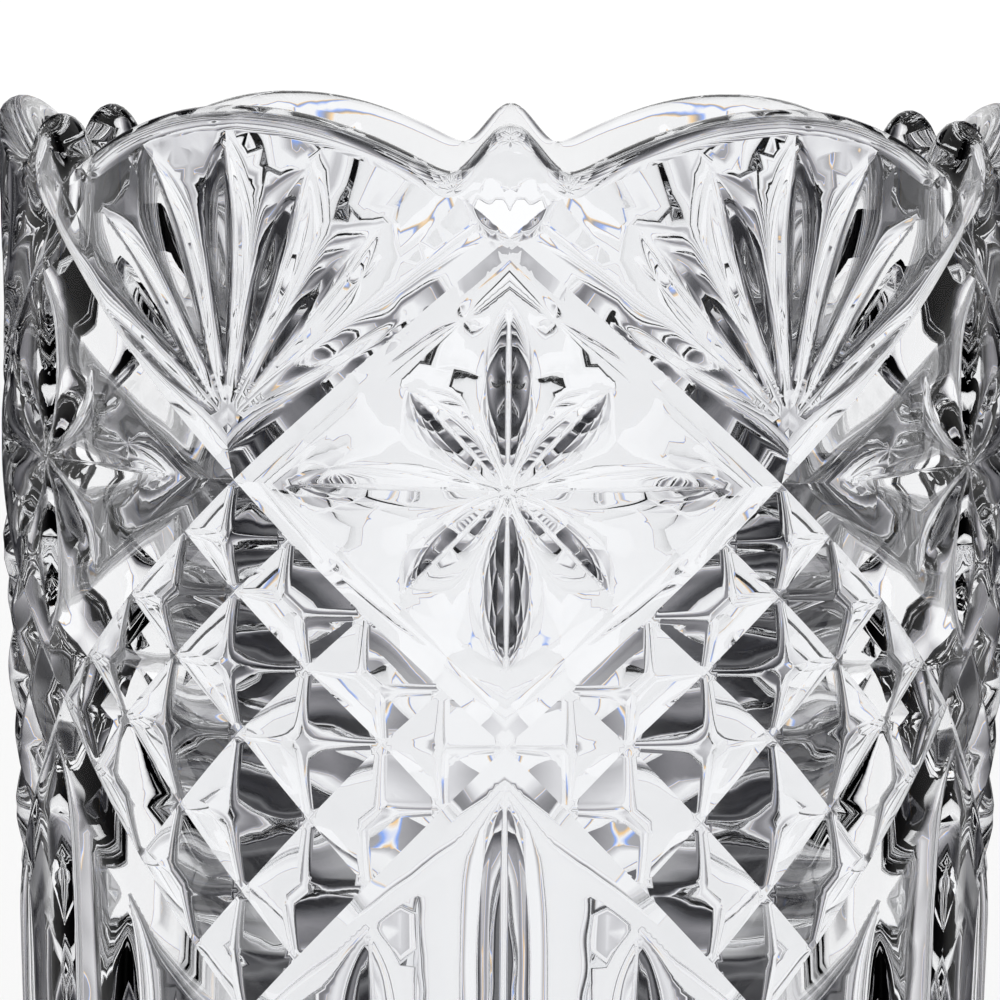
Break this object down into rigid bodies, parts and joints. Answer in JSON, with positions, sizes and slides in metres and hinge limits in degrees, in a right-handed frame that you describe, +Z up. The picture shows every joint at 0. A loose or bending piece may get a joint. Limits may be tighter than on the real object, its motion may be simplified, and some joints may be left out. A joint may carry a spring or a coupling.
{
  "type": "vase",
  "caption": "Clear cut crystal vase with a scalloped rim, mitre lattice, star and hobnail panels, rim fans and tall flutes above a flat base.",
  "frame": {"origin": "centre of the flat base, on the surface that the vase stands on", "axes": "+Z up along the vase's axis; -Y is the front, where a knob of the rim and the star panel under it face the viewer"},
  "size_m": [0.128, 0.1278, 0.23],
  "materials": {
    "crystal": "clear, polished crystal glass"
  },
  "bodies": {
    "root": {"vase": "crystal"}
  },
  "joints": []
}
